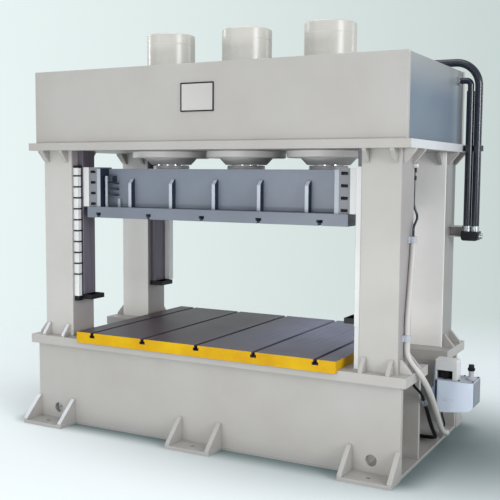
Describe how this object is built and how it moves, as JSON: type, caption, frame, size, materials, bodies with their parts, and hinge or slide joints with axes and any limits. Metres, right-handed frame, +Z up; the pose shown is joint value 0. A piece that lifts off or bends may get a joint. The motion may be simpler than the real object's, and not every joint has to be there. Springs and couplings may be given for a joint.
{
  "type": "hydraulic press",
  "caption": "Four-upright hydraulic press: a box crown with cylinders drives a ribbed, T-slotted slide on rails down over a T-slotted bed, with hoses and a lubricator at one end.",
  "frame": {"origin": "centre of the four corner anchor holes, on the floor plane", "axes": "+X to the right of someone facing the front, where the hoses and the lubricator are; +Y from front to back; +Z up"},
  "size_m": [3.23, 1.68, 2.969],
  "materials": {
    "frame_paint": "satin warm grey",
    "slide_paint": "satin blue grey",
    "end_paint": "satin dark blue grey",
    "pale_paint": "satin pale grey",
    "dark_paint": "satin navy",
    "bed_iron": "planed, yellow painted edges",
    "machined_steel": "turned",
    "rail_steel": "ground and oiled",
    "rod_chrome": "polished",
    "black_steel": "semi-gloss black",
    "hose_rubber": "smooth black",
    "light_conduit": "matte light grey",
    "housing_white": "satin white",
    "tank_plastic": "translucent pale blue",
    "black_plastic": "matte black",
    "fitting_steel": "zinc plated"
  },
  "bodies": {
    "frame": {"base_floor_plate": "frame_paint", "base_long_walls": "frame_paint", "base_cross_walls": "frame_paint", "base_end_ribs": "frame_paint", "base_table_plate": "frame_paint", "foot_plates": "frame_paint", "foot_webs": "frame_paint", "bolster": "bed_iron", "upright_front_right": "frame_paint", "upright_front_left": "frame_paint", "upright_back_right": "frame_paint", "upright_back_left": "frame_paint", "upright_foot_braces": "frame_paint", "upright_head_braces": "frame_paint", "crown_flange": "frame_paint", "crown_long_walls": "frame_paint", "crown_cross_walls": "end_paint", "crown_top_plate": "frame_paint", "cylinder_barrels": "frame_paint", "cylinder_glands": "machined_steel", "cylinder_caps": "frame_paint", "guide_rails": "rail_steel", "drip_trays": "black_steel", "light_curtains": "housing_white", "crown_port_block": "black_steel", "outer_hose": "hose_rubber", "inner_hose": "hose_rubber", "port_elbow": "black_steel", "hose_fittings": "fitting_steel", "manifold_block": "black_steel", "manifold_plug": "fitting_steel", "manifold_bracket": "frame_paint", "hose_clamp": "black_plastic", "lubricator_bracket": "frame_paint", "lubricator_tank": "tank_plastic", "lubricator_lid": "black_plastic", "lubricator_head": "housing_white", "lubricator_pump": "black_plastic", "lubricator_filler": "black_plastic", "conduit": "light_conduit", "conduit_clips": "fitting_steel", "switch_cable": "hose_rubber", "cable_cleats": "black_plastic", "drain_hoses": "hose_rubber", "drain_coupling": "fitting_steel", "lubricator_hose": "hose_rubber", "end_wall_glands": "black_plastic"},
    "slide": {"slide_plate": "slide_paint", "slide_beam": "slide_paint", "slide_end_plates": "slide_paint", "slide_webs": "slide_paint", "slide_stiffeners": "dark_paint", "pocket_posts": "pale_paint", "guide_shoes": "pale_paint", "gib_adjusters": "black_steel", "guide_gibs": "machined_steel", "pistons": "machined_steel", "piston_rods": "rod_chrome", "rod_flanges": "machined_steel"},
    "filler_cap": {"lubricator_cap": "black_plastic"}
  },
  "joints": [
    {"name": "slide_stroke", "type": "slide", "parent": "frame", "child": "slide", "axis": [0, 0, -1], "range_m": [0, 0.55]},
    {"name": "filler_cap_turn", "type": "hinge", "parent": "frame", "child": "filler_cap", "pos_m": [1.686, 0.175, 0.583], "axis": [0, 0, 1], "range_deg": [0, 90]}
  ]
}
